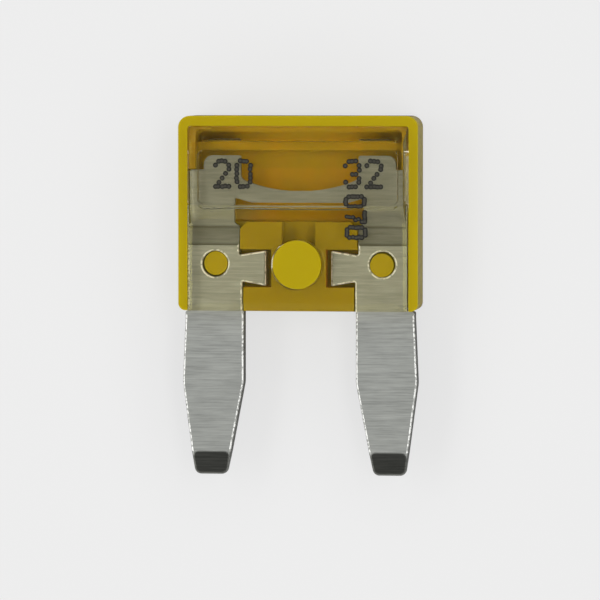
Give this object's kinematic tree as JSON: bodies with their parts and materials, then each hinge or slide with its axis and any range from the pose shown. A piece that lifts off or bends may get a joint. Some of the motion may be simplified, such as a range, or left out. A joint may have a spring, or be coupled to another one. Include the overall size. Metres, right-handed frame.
{
  "type": "automotive blade fuse",
  "caption": "Small plug-in blade fuse: flat flared blades joined by a thin stamped link in a yellow body with a clear front cover.",
  "frame": {"origin": "centre of the outer size, on the plane that the back of the head rests on", "axes": "+X across the blades, +Y from the blade tips to the top of the head, +Z out of the clear front"},
  "size_m": [0.011, 0.0164, 0.0036],
  "materials": {
    "yellow_plastic": "semi-gloss moulded polycarbonate",
    "clear_plastic": "clear moulded polycarbonate",
    "zinc": "rolled zinc strip, bare"
  },
  "bodies": {
    "root": {"rear_housing": "yellow_plastic", "clear_cover": "clear_plastic", "fuse_element": "zinc"}
  },
  "joints": []
}
